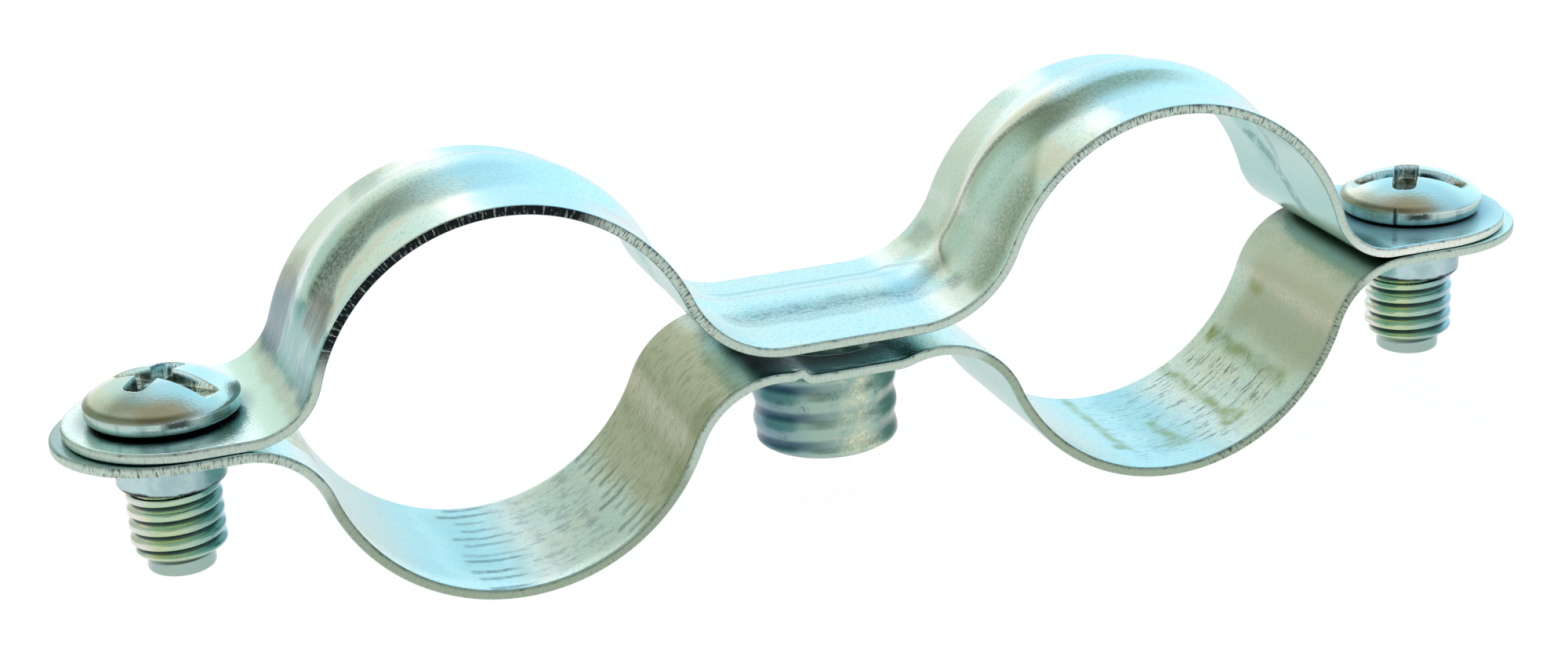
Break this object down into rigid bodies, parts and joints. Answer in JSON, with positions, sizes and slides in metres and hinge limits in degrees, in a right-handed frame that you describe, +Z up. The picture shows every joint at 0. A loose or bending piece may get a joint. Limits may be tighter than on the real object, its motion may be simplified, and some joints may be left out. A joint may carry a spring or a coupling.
{
  "type": "double pipe clip",
  "caption": "Two-part pressed steel clip that holds a pair of parallel pipes side by side, closed by end screws, with a threaded rod socket in the middle.",
  "frame": {"origin": "centre of the mouth of the rod socket", "axes": "+X along the clip from the left pipe to the right pipe, +Y along the pipes, +Z up, from the rod socket to the pipes"},
  "size_m": [0.0828, 0.0116, 0.022],
  "materials": {
    "strap": "bright zinc plating on rolled strip",
    "screw": "bright zinc plating on cold-headed screws"
  },
  "bodies": {
    "lower_strap": {"lower_strap": "strap"},
    "upper_strap": {"upper_strap": "strap"},
    "screw_left": {"screw_left": "screw"},
    "screw_right": {"screw_right": "screw"}
  },
  "joints": [
    {"name": "screw_left_turn", "type": "hinge", "parent": "upper_strap", "child": "screw_left", "pos_m": [-0.0352, 0, 0.00695], "axis": [0, 0, 1], "range_deg": [0, 1800]},
    {"name": "screw_right_turn", "type": "hinge", "parent": "upper_strap", "child": "screw_right", "pos_m": [0.036, 0, 0.00695], "axis": [0, 0, 1], "range_deg": [0, 1800]},
    {"name": "upper_strap_lift", "type": "slide", "parent": "lower_strap", "child": "upper_strap", "axis": [0, 0, 1], "range_m": [0, 0.004]}
  ],
  "couplings": [
    {"joint": "screw_left_turn", "follows": "upper_strap_lift", "rad_per_m": 7854},
    {"joint": "screw_right_turn", "follows": "upper_strap_lift", "rad_per_m": 7854}
  ]
}
